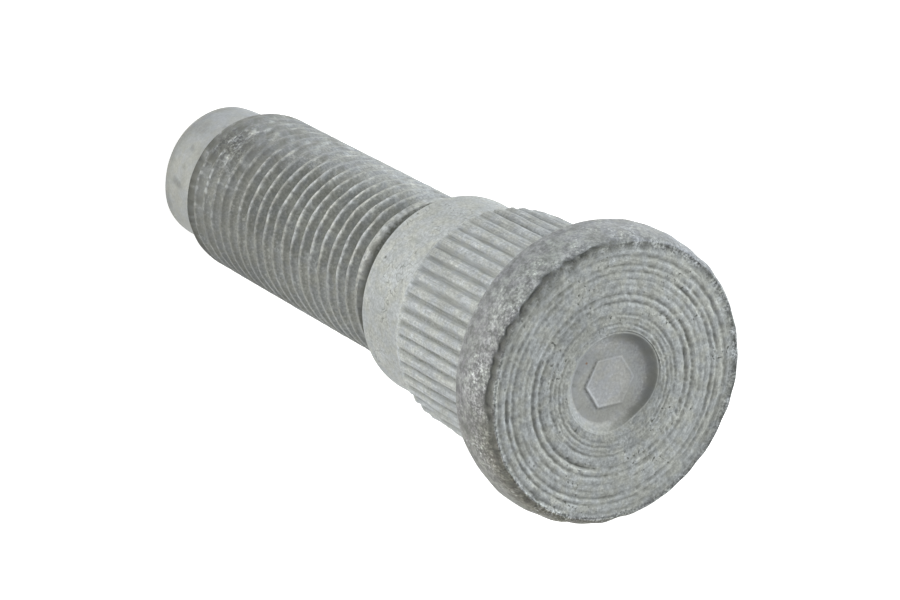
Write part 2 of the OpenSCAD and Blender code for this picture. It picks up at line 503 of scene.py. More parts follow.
def add_thread(skin, s, f, core):
    """Right-hand thread: rows follow the helix, radius = crest radius - depth x form(phase).

    The turn runs out into the relief groove above and the sloped end below, where the radius is
    capped; the crests are rubbed flat in places and their line wanders a little.
    """
    pitch = s.thread_pitch
    low = s.pilot_length
    shoulder = seat_height(s) - s.collar_end
    relief = shoulder - s.relief_length
    form = np.array(THREAD_FORM)
    per_turn = len(form)
    phase = form[:, 0] * MM / pitch
    turns = int(math.ceil((relief - low) / pitch)) + 2
    steps = (np.arange(turns)[:, None] + phase[None, :]).reshape(-1)
    angle = EVEN_FINE[::2][None, :]
    lead = (angle - angle[0, 0]) / (2.0 * math.pi)
    start = low - pitch + THREAD_NUDGE * MM
    raw = start - pitch + pitch * (steps[:, None] + lead)
    depth = s.thread_radius - core
    slope_foot = relief - depth * FLANK_SLOPE
    crest_height = raw - pitch * (steps[:, None] % 1.0)
    near_end = smooth(crest_height, slope_foot - 1.25 * MM, slope_foot - 0.85 * MM)
    stops = slope_foot + np.tile(LAST_TURN_STOPS, turns)[:, None] * MM
    raw = raw + near_end * (np.maximum(raw, stops) - raw)
    height = np.clip(raw, low, relief)
    turn = (height - start) / pitch - lead
    along, deep = np.append(form[:, 0], pitch / MM), np.append(form[:, 1], 0.0)
    share = np.interp((turn % 1.0) * pitch / MM, along, deep)
    land = smooth(height, slope_foot - 0.9 * MM, slope_foot - 0.6 * MM)
    land = land * smooth(turn - (turns - 3), 0.0, 0.06)
    share = share * (1.0 - 0.85 * land)
    wander = uneven(angle, height, 21, waves=24, most_turns=18, reach=0.9 * MM)
    slow = uneven(angle, height, 22, waves=10, most_turns=5, reach=6.0 * MM)
    broken = uneven(angle, height, 23, waves=60, most_turns=90, reach=0.8 * MM)
    over = turn_gap(angle, math.radians(WORN_MIDDLE))
    reach = np.radians(np.interp(height / MM, WORN_HEIGHTS, WORN_EDGE) - WORN_MIDDLE + 2.5 * wander)
    rubbed = smooth(reach - over, math.radians(-9.0), math.radians(15.0))
    far_side = over - math.radians(9.0) * slow
    rubbed = rubbed * smooth(far_side, math.radians(-80.0), math.radians(-28.0))
    rubbed = rubbed * (0.80 + 0.20 * smooth(height, low + 4.0 * MM, low + 12.0 * MM))
    low_side = facing(angle, THREAD_LOW)
    blunt = 1.0 - 0.45 * np.maximum(fall(height, 8.0 * MM, 21.0 * MM), low_side)
    near_pilot = fall(height, 8.0 * MM, 15.0 * MM)
    blunt = blunt - 0.14 * near_pilot
    whole = s.thread_radius - depth * share * blunt * (1.0 - 0.82 * rubbed)
    radius = np.minimum(whole, s.thread_radius - 0.012 * MM * (1.0 + wander))
    radius = np.minimum(radius, s.thread_radius - 0.25 * MM + (height - low))
    ragged = 0.05 * MM * uneven(angle, 0.0, 27, waves=30, most_turns=60)
    radius = np.minimum(radius, core + np.maximum(relief + ragged - height, 0.0) / FLANK_SLOPE)
    radius = np.maximum(radius, core)
    free = smooth(height, low + 0.3 * MM, low + 1.5 * MM) * fall(height, relief - 1.6 * MM, relief - 0.4 * MM)
    height = height + 0.05 * MM * wander * free
    first = smooth(height, relief - 1.9 * MM, relief - 1.3 * MM)
    frayed = np.clip(uneven(angle, height, 25, waves=40, most_turns=70, reach=0.6 * MM), -0.6, 1.0)
    wide = 0.20 + 0.60 * first + 0.25 * frayed
    crest = (1.0 - smooth(share, 0.30 * first, wide)) * (1.0 - smooth(whole - radius, 0.10 * MM, 0.30 * MM))
    faint = smooth(height, low + 2.0 * MM, low + 24.0 * MM) * 0.60 + 0.20 * slow + 0.20
    # Pale crest lines: rubbed wear and partly a painted highlight, weaker on the low side.
    wear_and_highlight = crest * np.clip(faint + (0.45 + 0.50 * near_pilot) * broken, 0.0, 1.0)
    wear_and_highlight = wear_and_highlight * (1.0 - 0.8 * rubbed) * (1.0 - 0.75 * low_side)
    end = fall(height, low + 0.25 * MM, low + 1.6 * MM)
    chips = smooth(uneven(angle, height, 24, waves=40, most_turns=40, reach=0.7 * MM), 0.8, 1.5)
    wear_and_highlight = np.clip(wear_and_highlight + 0.7 * chips * fall(height, low + 0.8 * MM, low + 4.0 * MM), 0.0, 1.0)
    gap = smooth(height, slope_foot - 0.03 * MM, slope_foot + 0.05 * MM)
    patch = zone_at(angle, height, THREAD_PATCH)
    blots = smooth(uneven(angle, height, 26, waves=40, most_turns=36, reach=0.5 * MM), 0.1, 0.7)
    hurt = zone_at(angle, height, THREAD_HURT)
    nicks = uneven(angle, height, 28, waves=60, most_turns=30, reach=0.28 * MM)
    wear_and_highlight = wear_and_highlight + 1.1 * hurt * smooth(nicks, 0.55, 1.1) + 0.60 * rubbed * smooth(nicks, 0.4, 1.1)
    wear_and_highlight = np.clip(wear_and_highlight, 0.0, 1.0)
    crease = patch_at(angle, *THREAD_CREASE) * fall(height, 12.0 * MM, 19.0 * MM)
    # Painted shade at the thread's sloped start and in the groove by the shoulder, with dirt in nicks,
    # creases and blots.
    shade_and_dirt = end * (0.72 + 0.75 * broken) + gap + (hurt + 0.65 * rubbed) * smooth(-nicks, 0.40, 0.85)
    shade_and_dirt = shade_and_dirt + 0.8 * crease * np.clip(0.6 + broken, 0.0, 1.0)
    shade_and_dirt = shade_and_dirt + 0.75 * blots * fall(height, low + 1.2 * MM, low + 4.6 * MM)
    shade_and_dirt = shade_and_dirt + 0.6 * patch * np.clip(0.6 + broken, 0.0, 1.2)
    shade_and_dirt = shade_and_dirt + 0.30 * rubbed * smooth(share, 0.1, 0.6) * np.clip(0.3 + broken, 0.0, 1.0)
    # Painted light and shade on the flanks: they are painted lighter towards their roots against their own
    # shadow and darker on the low side. Slow random tone and a darkening towards the pilot are mixed in.
    painted_light_shade_and_tone = (1.0 + 0.34 * smooth(share, 0.10, 0.85)) * (1.0 + 0.05 * slow)
    painted_light_shade_and_tone = painted_light_shade_and_tone * (1.0 - 0.10 * low_side * smooth(height, 18.0 * MM, 28.0 * MM))
    painted_light_shade_and_tone = painted_light_shade_and_tone * (1.0 - 0.19 * fall(height, 8.0 * MM, 30.0 * MM))
    painted_light_shade_and_tone = painted_light_shade_and_tone * (1.0 + low_side * (0.06 - 0.14 * fall(height, 20.0 * MM, 25.0 * MM)))
    pale = rubbed[..., None]
    deep = 0.22 * fall(height, 9.0 * MM, 30.0 * MM)
    deep = deep + 0.36 * smooth(over, math.radians(36.0), math.radians(76.0))
    worn = np.array(f.worn) * (1.0 - deep)[..., None]
    # Painted shadow on the thread's start beside the pilot, and painted shade in the groove by the shoulder.
    shade_of_start = fall(height, low + 0.25 * MM, low + 1.0 * MM) * np.clip(0.42 + 0.34 * broken, 0.0, 0.75)
    painted_light_shade_and_tone = painted_light_shade_and_tone * (1.0 - shade_of_start) * (1.0 - 0.15 * gap)
    coat = np.array(f.thread) * painted_light_shade_and_tone[..., None] * (1.0 - pale) + worn * pale
    coat = coat * (1.0 - 0.16 * hurt - 0.04 * near_pilot)[..., None]
    grit = 0.16 + 0.19 * smooth(height, 8.0 * MM, 24.0 * MM)
    ribbed = 0.7 * rubbed * (1.0 - hurt) - 0.7 * hurt
    skin.helix_rows(radius, height, angle, per_turn, (np.clip(shade_and_dirt, 0, 1), wear_and_highlight, grit, 0.0, ribbed), coat)


# Height of the first crest over its plain place, in millimetres.
THREAD_NUDGE = 0.363
# Millimetres from the edge of the last slope at which the rows of the last turn stop.
LAST_TURN_STOPS = (-9.0, -9.0, -9.0, -0.04, 0.04, 0.24, 0.53, 0.53)

# The side of the thread rubbed smooth: its middle azimuth, and its edge at some heights in millimetres.
WORN_MIDDLE = -178.0
WORN_HEIGHTS = (6.0, 12.0, 18.0, 24.0, 30.0, 35.2)
WORN_EDGE = (-98.0, -104.0, -120.0, -128.0, -134.0, -137.0)


def add_collar(skin, s, f, core):
    """Relief groove floor, shoulder face, rounded shoulder and plain cylinder."""
    angle = EVEN_FINE[::2]
    shoulder = seat_height(s) - s.collar_end
    knurl_far = seat_height(s) - s.knurl_end
    edge = s.shoulder_round
    zeros = 0.0 * angle
    # Painted shade in the relief groove and on the shoulder's face.
    z = np.linspace(shoulder - 1.6 * MM, shoulder, 4)[:, None]
    skin.rows(core + 0.0 * z + zeros, z, angle, (1.0 + 0 * z, 0, 0.1, 0, 0), np.array(f.thread))
    flat = np.linspace(core + 0.4 * MM, s.collar_radius - edge, 3)[:, None]
    mix = smooth(flat, core, s.collar_radius - edge)
    coat = np.array(f.thread) * (1 - mix[..., None]) + np.array(f.collar) * mix[..., None]
    skin.rows(flat + zeros, shoulder, angle, (0.9 - 0.9 * mix, 0, 0.1, 0, 0), coat)
    r, z = quarter((s.collar_radius - edge, shoulder), (s.collar_radius, shoulder + edge), 6, True)
    # Painted shade: the collar's top side and low side are made darker.
    painted_side_shade = 1.0 - 0.20 * facing(angle, COLLAR_TOP)
    painted_side_shade = painted_side_shade * (1.0 - 0.12 * facing(angle, COLLAR_LOW))
    coat = np.array(f.collar) * painted_side_shade[..., None]
    skin.rows(r[:, None] + zeros, z[:, None], angle, (0, 0, 0.2, 0, 0.1), coat)
    top = knurl_far - (s.knurl_radius - s.collar_radius)
    z = np.linspace(shoulder + edge + 0.4 * MM, top - 0.3 * MM, 16)[:, None]
    inside = smooth(z, shoulder + edge, shoulder + edge + MM) * fall(z, top - MM, top)
    r = s.collar_radius - 0.02 * MM * inside * (1.0 + uneven(angle, z, 31, most_turns=9))
    loop = np.hypot((z - 40.4 * MM) / (1.1 * MM), turn_gap(angle, math.radians(COLLAR_LOOP[0])) / 0.085)
    ragged = uneven(angle, z, 34, waves=30, most_turns=40, reach=0.8 * MM)
    loop = bump_at(loop, 1.0, 0.30) * smooth(ragged, 0.1, 0.8)
    loop = loop * facing(angle, COLLAR_LOOP)
    specks = smooth(uneven(angle, z, 33, waves=40, most_turns=70, reach=0.5 * MM), 1.0, 1.7)
    # Painted shade from the sides, and painted light in a pale band next to the ribs' far end.
    coat = np.array(f.collar) * (painted_side_shade * (1.0 + 0.06 * smooth(z, top - 1.2 * MM, top)))[..., None]
    skin.rows(r, z, angle, (np.clip(0.70 * loop + 0.45 * specks, 0, 1), 0, 0.28, 0, 0.2), coat)
    return top, painted_side_shade


def add_knurl(skin, s, f, top, painted_side_shade):
    """Ribbed zone: radius = least of the blank's radius and the groove's radius in each column.

    On two sides the ribs swell a little towards the head.
    """
    knurl_far = top + (s.knurl_radius - s.collar_radius) + s.rib_gap
    near = seat_height(s) - s.neck_length
    lead = s.rib_lead
    heights = np.concatenate(
        [
            top + (knurl_far - top) * np.array([0.0, 0.25, 0.5, 0.62, 0.8, 0.93]),
            knurl_far + np.array([0.12, 0.4, 1.0]) * MM,
            np.linspace(knurl_far + 2.0 * MM, near - lead - 0.5 * MM, 8),
            near - lead + lead * np.array([-0.25, 0.3, 0.75, 1.0]),
        ]
    )[:, None]
    blank = np.interp(
        heights,
        [top, knurl_far - 0.12 * MM, knurl_far + 0.12 * MM, near - lead, near],
        [s.collar_radius, s.knurl_radius - 0.14 * MM, s.knurl_radius, s.knurl_radius, s.neck_radius],
    )
    angle = RIB_FINE[None, :]
    column = np.arange(FINE) % PER_RIB
    rng = np.random.default_rng(9)
    rib = rng.normal(0.0, 1.0, RIBS).repeat(PER_RIB)[None, :]
    deep = s.groove_depth * (1.0 + 0.12 * rib)
    share = np.array([0.88, 0.88, 0.28, 0.09, 0.0, 0.0, 0.09, 0.28])[column][None, :]
    rough = uneven(angle, heights, 41, waves=30, most_turns=40, reach=0.9 * MM)
    inside = smooth(heights, knurl_far, knurl_far + 0.6 * MM) * fall(heights, near - 0.8 * MM, near)
    worn = inside * (0.03 * MM * (1.0 + rough) + 0.02 * MM * (1.0 + rib * 0.5))
    ribbed = s.knurl_radius - deep * share - np.clip(worn, 0.0, 0.1 * MM) * (share < 0.5)
    swell = patch_at(angle, 180.0, 45.0) * smooth(heights, 44.2 * MM, 45.8 * MM)
    swell = 0.23 * MM * swell * fall(heights, near - 3.0 * MM, near)
    low_swell = patch_at(angle, -12.0, 36.0)
    low_swell = low_swell * smooth(heights, 46.4 * MM, 48.2 * MM)
    swell = swell + 0.19 * MM * low_swell * fall(heights, near - 0.7 * MM, near)
    radius = np.minimum(blank, ribbed) + swell
    low_side = facing(angle, KNURL_LOW)
    groove = 1.0 * (share > 0.5) + 0.18 * (share == 0.28)
    groove = groove * smooth(heights, knurl_far - 0.15 * MM, knurl_far + 0.25 * MM)
    edge = (share > 0.05) * (share < 0.2) * inside + bump_at(heights, knurl_far, 0.45 * MM) * (share < 0.5)
    # Painted shade in the grooves, stronger on the low side and weaker on top.
    strength = 0.46 + 0.34 * low_side - 0.30 * facing(angle, KNURL_TOP)
    chips = smooth(uneven(angle, heights, 44, waves=40, most_turns=90, reach=0.5 * MM), 0.3, 1.1)
    edge = edge * (0.6 + 0.9 * chips) + 0.5 * chips * inside * (share < 0.2)
    marks = (strength * groove, np.clip(0.50 * edge, 0, 1), 0.33, 0.0, 0.75 * smooth(heights, top, knurl_far))
    tint = smooth(heights, top, knurl_far)[..., None]
    painted_side_shade = np.interp(angle, EVEN_FINE[::2], painted_side_shade)
    patchy = 1.0 + 0.06 * uneven(angle, heights, 43, waves=24, most_turns=16, reach=2.5 * MM)
    coat = np.array(f.collar) * (1 - tint) + np.array(f.knurl) * tint
    # Painted light and shade: the collar's painted side shade carries on and the low side is painted lighter.
    # One pale patch is added.
    light = 0.93 * painted_side_shade + 0.23 * low_side + 0.04 + 0.05 * patch_at(angle, *KNURL_PALE)
    coat = coat * (light * patchy)[..., None]
    skin.rows(radius, heights + 0.0 * angle, angle, marks, coat)
    return near


def add_head_back(skin, s, f, near):
    """Neck, fillet and flat seat, out to the inset back edge of the head."""
    seat = seat_height(s)
    fillet = s.neck_fillet
    z = np.linspace(near + 0.5 * MM, seat - fillet, 4)
    mix = np.linspace(0.0, 1.0, 4)[:, None]
    angle = RIB_FINE[None, :] * (1.0 - mix) + EVEN_RIB[None, :] * mix
    coat = np.array(f.knurl) * 0.9
    skin.rows(s.neck_radius + 0 * z[:, None], z[:, None], angle, (0.2, 0, 0.3, 0, 0.2), coat)
    t = np.radians(22.5) * np.arange(1, 5)
    r = s.neck_radius + fillet * (1.0 - np.cos(t))
    z = seat - fillet * (1.0 - np.sin(t))
    angle = EVEN_RIB
    skin.rows(r[:, None] + 0 * angle, z[:, None], angle, (0.5, 0, 0.6, 0, 0), np.array(f.side))
    edge = head_radius(s, angle) - s.back_in
    ramp = np.linspace(0.0, 1.0, 4)[1:, None]
    r = (s.neck_radius + fillet) * (1 - ramp) + edge * ramp
    skin.rows(r, seat + 0 * r, angle, (0.1, 0, 0.7, 0, 0), np.array(f.side))


EVEN_RIB = EVEN_FINE + (RIB_FINE.mean() - EVEN_FINE.mean())


def head_shift(angle):
    """The forged head sits a little off the axis: its reach beyond the mean in each direction."""
    return off_axis(angle, HEAD_AWAY)


def head_radius(s, angle):
    """Outer radius of the forged head: worn low on one side, and a little low or full elsewhere."""
    rough = 0.02 * MM * (1.0 + uneven(angle, 0.0, 51, most_turns=9))
    reach = s.head_radius - 0.13 * MM + head_shift(angle) + hills(angle, HEAD_SWELLS, hill_at)
    return np.minimum(reach, s.head_radius) - rough - hills(angle, HEAD_LOW_PLACES, patch_at)


def lip_radius(s, angle):
    """Radius of the face's edge, where the rolled side meets the turned rings."""
    return s.face_radius + LIP_REACH + head_shift(angle)


def add_head_side(skin, s, f):
    """Rounded back edge, forged wall and rolled front edge, with lumps of the forging skin."""
    angle = EVEN_RIB[None, :]
    seat, face = seat_height(s), s.length
    outer = head_radius(s, angle)
    t = np.linspace(0.0, math.pi / 2.0, 5)[1:, None]
    r_back = outer - s.back_in + s.back_in * np.sin(t)
    z_back = seat + s.back_roll * (1.0 - np.cos(t)) + 0 * angle
    z_wall = np.linspace(seat + s.back_roll, face - s.front_roll, 6)[1:, None] + 0 * angle
    r_wall = outer + 0 * z_wall
    t = np.linspace(0.0, math.pi / 2.0, 13)[1:-1, None]
    lip = lip_radius(s, angle)
    r_roll = lip + (outer - lip) * np.cos(t)
    z_roll = face - s.front_roll + s.front_roll * np.sin(t) + 0 * angle
    r = np.concatenate([r_back, r_wall, r_roll])
    z = np.concatenate([z_back, z_wall, z_roll])
    middle = smooth(z, seat, seat + 0.8 * MM)
    lumps = uneven(angle, z, 52, waves=40, most_turns=36, reach=0.8 * MM)
    r = r - 0.05 * MM * middle * (1.0 + lumps)
    z = np.minimum(z, face - 0.01 * MM)
    valley = lap_valley(angle, r - lip)
    z = z - LAP_DEPTH * valley
    purple = fall(z, seat + 0.4 * MM, seat + 2.2 * MM)[..., None]
    under = facing(angle, HEAD_UNDER)[..., None]
    bright = facing(angle, HEAD_BRIGHT) * smooth(z, seat + 1.2 * MM, face - 0.8 * MM)
    painted_light_and_smooth_top = facing(angle, HEAD_TOP)[..., None]
    coat = np.array(f.side) * (1.0 - purple * (1.0 - painted_light_and_smooth_top) * np.array([0.14, 0.145, 0.12]))
    low_lip = smooth(z, seat + 2.4 * MM, face - 0.4 * MM)[..., None]
    left = facing(angle, HEAD_LEFT)[..., None]
    # Painted light: the left side is lighter and bluer.
    coat = coat * (1.0 + left * np.array([0.075, 0.075, 0.115]))
    # Painted cool light: the top is tinted bluer.
    coat = coat * (1.0 + painted_light_and_smooth_top * np.array([-0.02, 0.0, 0.05]))
    # Painted shade: the head's underside is darker, most towards the face.
    coat = coat * (1.0 - under * (0.55 + 0.75 * low_lip) * np.array([0.26, 0.29, 0.36]))
    # Painted shade: the top is made darker.
    coat = coat * (1.0 - 0.10 * painted_light_and_smooth_top)
    low_left = facing(angle, HEAD_LOW_LEFT) * smooth(z, seat + 1.6 * MM, seat + 2.6 * MM)
    grain = uneven(angle, z, 54, waves=40, most_turns=80, reach=0.45 * MM)
    crumbs = np.maximum(bright, 0.8 * low_left) * smooth(grain, -0.1, 1.0)
    ridge = bump_at(r - lip, 0.46 * MM, 0.24 * MM) * lap_opening(angle)
    crumbs = np.maximum(crumbs, 1.1 * ridge * smooth(grain, -0.5, 0.6))
    # Painted shade in the lap's crease.
    coat = coat * (1.0 - 0.5 * smooth(valley, 0.45, 0.95))[..., None]
    dusky = patch_at(angle, *HEAD_DUSKY)[..., None]
    coat = coat * (1.0 - dusky * np.array([0.085, 0.06, 0.03]))
    mottle = smooth(uneven(angle, z, 55, waves=40, most_turns=44, reach=0.7 * MM), 0.15, 0.95)
    dark = 0.15 * purple[..., 0] + 2.0 * valley + 0.55 * low_left * smooth(-grain, 0.25, 1.0)
    dark = dark + 0.40 * np.maximum(bright, low_left) * mottle
    crumbly = np.maximum(0.55 * smooth(r - lip, 0.6 * MM, 0.0), 0.55 * low_left)
    crumbly = np.maximum(crumbly * (1.0 - 0.5 * painted_light_and_smooth_top[..., 0]), 0.35 * bright)
    marks = (np.clip(dark, 0, 1), 0.28 * crumbs, 1.0 - 0.35 * painted_light_and_smooth_top[..., 0], 0.0, -crumbly)
    skin.rows(r, z, angle, marks, coat)


def ring_list():
    """Radius, half width and depth of each turned groove, inner group to outer group."""
    rings = [(4.45, 0.15, 0.034), (4.82, 0.15, 0.046), (5.19, 0.14, 0.030)]
    rings += [(5.56, 0.17, 0.050), (5.98, 0.13, 0.020)]
    rings += [(6.52, 0.20, 0.100), (7.12, 0.20, 0.090), (7.80, 0.16, 0.030), (8.30, 0.16, 0.030)]
    rings += [(8.85, 0.19, 0.075), (9.36, 0.19, 0.080), (10.06, 0.19, 0.085), (10.53, 0.14, 0.080)]
    return [tuple(v * MM for v in ring) for ring in rings]


def lap_opening(angle):
    """How far the lap beside the face stands open: wide at the upper left, shut on the far side."""
    near = towards(angle, -100.0)
    ragged = 0.88 + 0.36 * uneven(angle, 0.0, 64, waves=30, most_turns=70)
    tail = 0.45 * facing(angle, LAP_TAIL)
    return np.clip(smooth(near, 0.55, 0.86) * ragged + tail * ragged, 0.0, 1.1)


def lap_valley(angle, beyond):
    """Share of the lap's depth at a distance beyond the face's edge, with a ragged centre line."""
    wander = 0.07 * uneven(angle, 0.0, 61, waves=16, most_turns=14)
    wander = wander + 0.05 * uneven(angle, 0.0, 63, waves=30, most_turns=80)
    outward = 0.10 + 0.12 * facing(angle, LAP_OUTWARD)
    return bump_at(beyond, (outward + wander) * MM, 0.23 * MM) * lap_opening(angle)


def rim_reach(angle):
    """How far the recess's rim lies outside its mean circle: out at the upper right, pressed in beside it."""
    return hills(angle, RIM_OUT, patch_at) - hills(angle, RIM_IN, hill_at)


def add_face(skin, s, f):
    """Turned face from the rolled edge in to the recess: height = face - sum of the grooves.

    Each groove is a rounded valley whose depth wanders round the face. The grooves share a centre
    a little off the stud's axis, so their rows are shifted, and outside them the rows blend to the
    edge of the forged head. Inside the last groove the face sinks slightly towards the recess.
    """
    angle = EVEN_RIB[None, :]
    rings = ring_list()
    inner, last = 4.02 * MM, 10.30 * MM
    nominal = [s.face_radius + v * MM for v in (0.08, 0.0, -0.08, -0.16, -0.26)]
    for centre, half, _ in rings:
        nominal += [centre + half * v for v in (-0.95, -0.45, 0.0, 0.45, 0.95)]
    nominal += list(np.arange(4.02, 10.2, 0.29) * MM)
    nominal = np.sort(np.array(nominal))[::-1]
    keep = np.concatenate([[True], np.abs(np.diff(nominal)) > 0.06 * MM])
    nominal = nominal[keep][:, None]
    shift = off_axis(angle, RINGS_AWAY) * smooth(nominal, inner, 4.4 * MM)
    shift = shift + rim_reach(angle) * (1.0 - smooth(nominal, inner, 4.4 * MM))
    lip = lip_radius(s, angle)
    share = np.clip((nominal - last) / (s.face_radius + LIP_REACH - last), 0.0, 1.0)
    radius = np.where(nominal < last, nominal + shift, (last + shift) * (1.0 - share) + lip * share)
    wander = uneven(angle, nominal, 62, waves=20, most_turns=9, reach=1.2 * MM)
    height = s.length - 0.05 * MM + 0.0 * radius
    shade_and_dirt, ridged = 0.0 * radius, 0.0 * radius
    for k, (centre, half, depth) in enumerate(rings):
        strength = 0.85 + 0.45 * uneven(angle, 0.0, 70 + k, waves=16, most_turns=14)
        strength = strength + 0.40 * uneven(angle, 0.0, 90 + k, waves=50, most_turns=110)
        if centre > last:
            strength = strength * facing(angle, FACE_OUTER_GROOVE)
        sway = 0.03 * MM * uneven(angle, 0.0, 110 + k, waves=24, most_turns=60)
        valley = bump_at(nominal, centre + sway, half)
        height = height - depth * valley * strength
        # Darkening in each groove: painted shade and dirt.
        shade_and_dirt = shade_and_dirt + 0.56 * valley * np.clip(strength, 0.0, 1.3) * min(1.0, depth / (0.08 * MM))
        ridge = bump_at(nominal, centre + 1.55 * half, 0.9 * half)
        height = height + 0.30 * depth * ridge * strength
        ridged = ridged + ridge * np.clip(strength, 0.0, 1.3) * min(1.0, depth / (0.07 * MM))
    height = height - 0.07 * MM * fall(nominal, 3.95 * MM, 4.40 * MM)
    height = height - 0.010 * MM * (1.0 + wander)
    height = np.minimum(height, s.length - 0.002 * MM)
    dotted = np.clip(shade_and_dirt, 0.0, 0.6)
    valley = lap_valley(angle, radius - lip)
    height = height - LAP_DEPTH * valley
    # Painted shade inside the lap on its open side, and in the lap's crease.
    opening = lap_opening(angle) * facing(angle, LAP_DARK)
    tone = 1.0 - 0.16 * opening * smooth(radius - lip, -0.9 * MM, -0.1 * MM)
    shade_and_dirt = shade_and_dirt + 2.2 * valley + 0.60 * opening * smooth(radius - lip, -1.1 * MM, -0.1 * MM)
    smear = zone_at(angle, radius - lip, LAP_SMEAR)
    smear = smear * smooth(uneven(angle, nominal, 66, waves=50, most_turns=60, reach=0.25 * MM), -0.2, 0.7)
    shade_and_dirt = shade_and_dirt + 0.8 * smear
    edge = smooth(radius - lip, -0.42 * MM, 0.0)
    # Painted highlights: pale lines along the ridges beside the grooves, stronger on the lit side, and a
    # paler lit side.
    lit_side = facing(angle, FACE_LIT)
    rubbed = 0.38 * np.clip(ridged, 0.0, 1.0) * (0.4 + 0.6 * lit_side) + 0.10 * lit_side
    far = facing(angle, FACE_FAR) * smooth(radius - lip, -0.75 * MM, -0.3 * MM)
    chips = uneven(angle, nominal, 65, waves=60, most_turns=75, reach=0.13 * MM)
    shade_and_dirt = shade_and_dirt + far * (0.20 + 0.75 * smooth(chips, 0.15, 0.80))
    rubbed = rubbed + far * (0.35 + 0.6 * smooth(-chips, 0.20, 0.90))
    # Painted light: the face is lighter towards one side and darker towards the other.
    tone = tone * (0.924 - 0.0150 * np.cos(angle) + 0.046 * np.sin(angle))
    dusky = 0.065 * zone_at(angle, nominal, FACE_UPPER_LEFT)
    dusky = dusky + 0.055 * zone_at(angle, nominal, FACE_LOWER_RIGHT)
    tone = tone * (1.0 - dusky)
    low_rim = facing(angle, FACE_LOW_RIM) * smooth(nominal, 9.9 * MM, 10.5 * MM)
    shady = facing(angle, FACE_SHADY) * fall(nominal, 4.1 * MM, 4.5 * MM)
    tone = tone * (1.0 - 0.26 * shady) * (1.0 - 0.31 * low_rim)
    tone = tone * (1.0 - 0.075 * fall(nominal, 5.9 * MM, 6.6 * MM))
    mix = 0.7 * edge[..., None]
    coat = (np.array(f.face) * (1 - mix) + np.array(f.side) * mix) * tone[..., None]
    # Painted shade in the lap's crease.
    coat = coat * (1.0 - 0.5 * smooth(valley, 0.45, 0.95))[..., None]
    crumbly = np.maximum(far, 0.5 * edge) + 0.45 * dotted
    marks = (np.clip(shade_and_dirt, 0, 1), np.clip(rubbed, 0, 1), 0.25 + 0.75 * edge, 1.0 - edge, -crumbly)
    skin.rows(radius, height, angle, marks, coat)


def hexagon_side(s, angle):
    """Distance from the mark's middle to its edge in each direction."""
    sector = math.radians(60.0)
    local = (angle - math.radians(HEXAGON_TURN)) % sector - sector / 2.0
    return s.hexagon * math.cos(sector / 2.0) / np.cos(local)


def add_recess(skin, s, f):
    """Crisp rim, hollow wall and flat floor with a plain hexagon in raised outline.

    From rim to floor the wall's share of the depth is 1 - (1 - t)^p, where p falls from 2.2 to 1.2
    on the lit side, and the rim is pressed in on one side. The rows of the floor close in on the
    hexagon, whose middle is a little off the axis.
    """
    angle = EVEN_RIB[::2][None, :]
    face, floor_z = s.length - 0.12 * MM, s.length - s.recess_depth
    t = np.array([-0.10, -0.03, 0.03, 0.10, 0.18, 0.28, 0.40, 0.54, 0.70, 0.85, 1.0])[:, None]
    rim = s.recess_radius + rim_reach(angle)
    lit = facing(angle, RECESS_LIT)
    foot = s.recess_floor + 0.24 * MM * lit + 0.28 * MM * facing(angle, RECESS_WIDE)
    foot = np.minimum(foot, rim - 0.45 * MM)
    r = rim + (foot - rim) * t
    depth = (1.0 - (1.0 - np.clip(t, 0.0, 1.0)) ** (2.2 - 1.0 * lit)) * smooth(t, -0.06, 0.10)
    z = face + (floor_z - face) * depth + 0 * angle
    share = np.clip(t, 0.0, 1.0) + 0 * angle
    coat = np.array(f.face) * (1 - share[..., None]) + np.array(f.floor) * share[..., None]
    shady = facing(angle, RECESS_SHADY)
    # Painted shade: the wall is darker on its shady side and on its lit side.
    coat = coat * (1.0 - (0.16 * lit + 0.16 * shady) * smooth(t, -0.1, 0.2))[..., None]
    foot_line = bump_at(t, 0.97, 0.16) * lit
    grime = smooth(uneven(angle, r, 71, waves=40, most_turns=40, reach=0.4 * MM), 0.35, 1.1)
    dirty = 0.55 * grime * lit * smooth(t, 0.55, 0.95)
    # Painted shade on the shady wall and a painted dark line at the lit wall's foot, with dirt specks near
    # it.
    shade_and_dirt = 0.40 * bump_at(t, 0.35, 0.8) * shady + 0.50 * foot_line + dirty
    marks = (shade_and_dirt, 0.0, 0.22, 0.25 * (1 - share), 0.0)
    skin.rows(r, z, angle, marks, coat)

    side = hexagon_side(s, angle)
    across, up = 0.005 * MM, 0.062 * MM
    # Painted shade: the floor's outer rows, at the foot of the wall, are darker.
    painted_shade = np.array(f.floor) * np.array([0.875, 0.88, 0.86])
    # Painted shade along the outline's outer foot and a painted highlight along its top and inner side,
    # stronger towards one side.
    for reach, high, mark, tone in (
        (1.27, 0.0, 0.0, painted_shade),
        (1.14, 0.0, 0.0, painted_shade),
        (1.055, 0.0, 0.85, f.floor),
        (1.015, 0.35, 0.75, f.floor),
        (0.975, 1.0, 0.0, f.floor),
        (0.945, 1.0, -0.28, f.floor),
        (0.900, 0.25, -0.20, f.floor),
        (0.850, 0.0, 0.0, f.floor),
        (0.600, 0.0, 0.0, f.floor),
        (0.380, 0.0, 0.0, f.floor),
        (0.180, 0.0, 0.0, f.floor),
    ):
        near = smooth(np.array(reach), 1.30, 1.10)
        x = side * reach * np.cos(angle) + across * near
        y = side * reach * np.sin(angle) + 0.07 * MM * near
        fade = 0.74 + 0.26 * towards(angle, -60.0)
        marks = (np.clip(mark, 0, 1) * fade, np.clip(-mark, 0, 1) * fade, 0.12, 0.0, 0.0)
        skin.rows(np.hypot(x, y), floor_z + up * high * fade, np.arctan2(y, x), marks, np.array(tone))
    skin.tip(floor_z, (0.0, 0.0, 0.03, 0.0, 0.0), np.array(f.floor))


# material


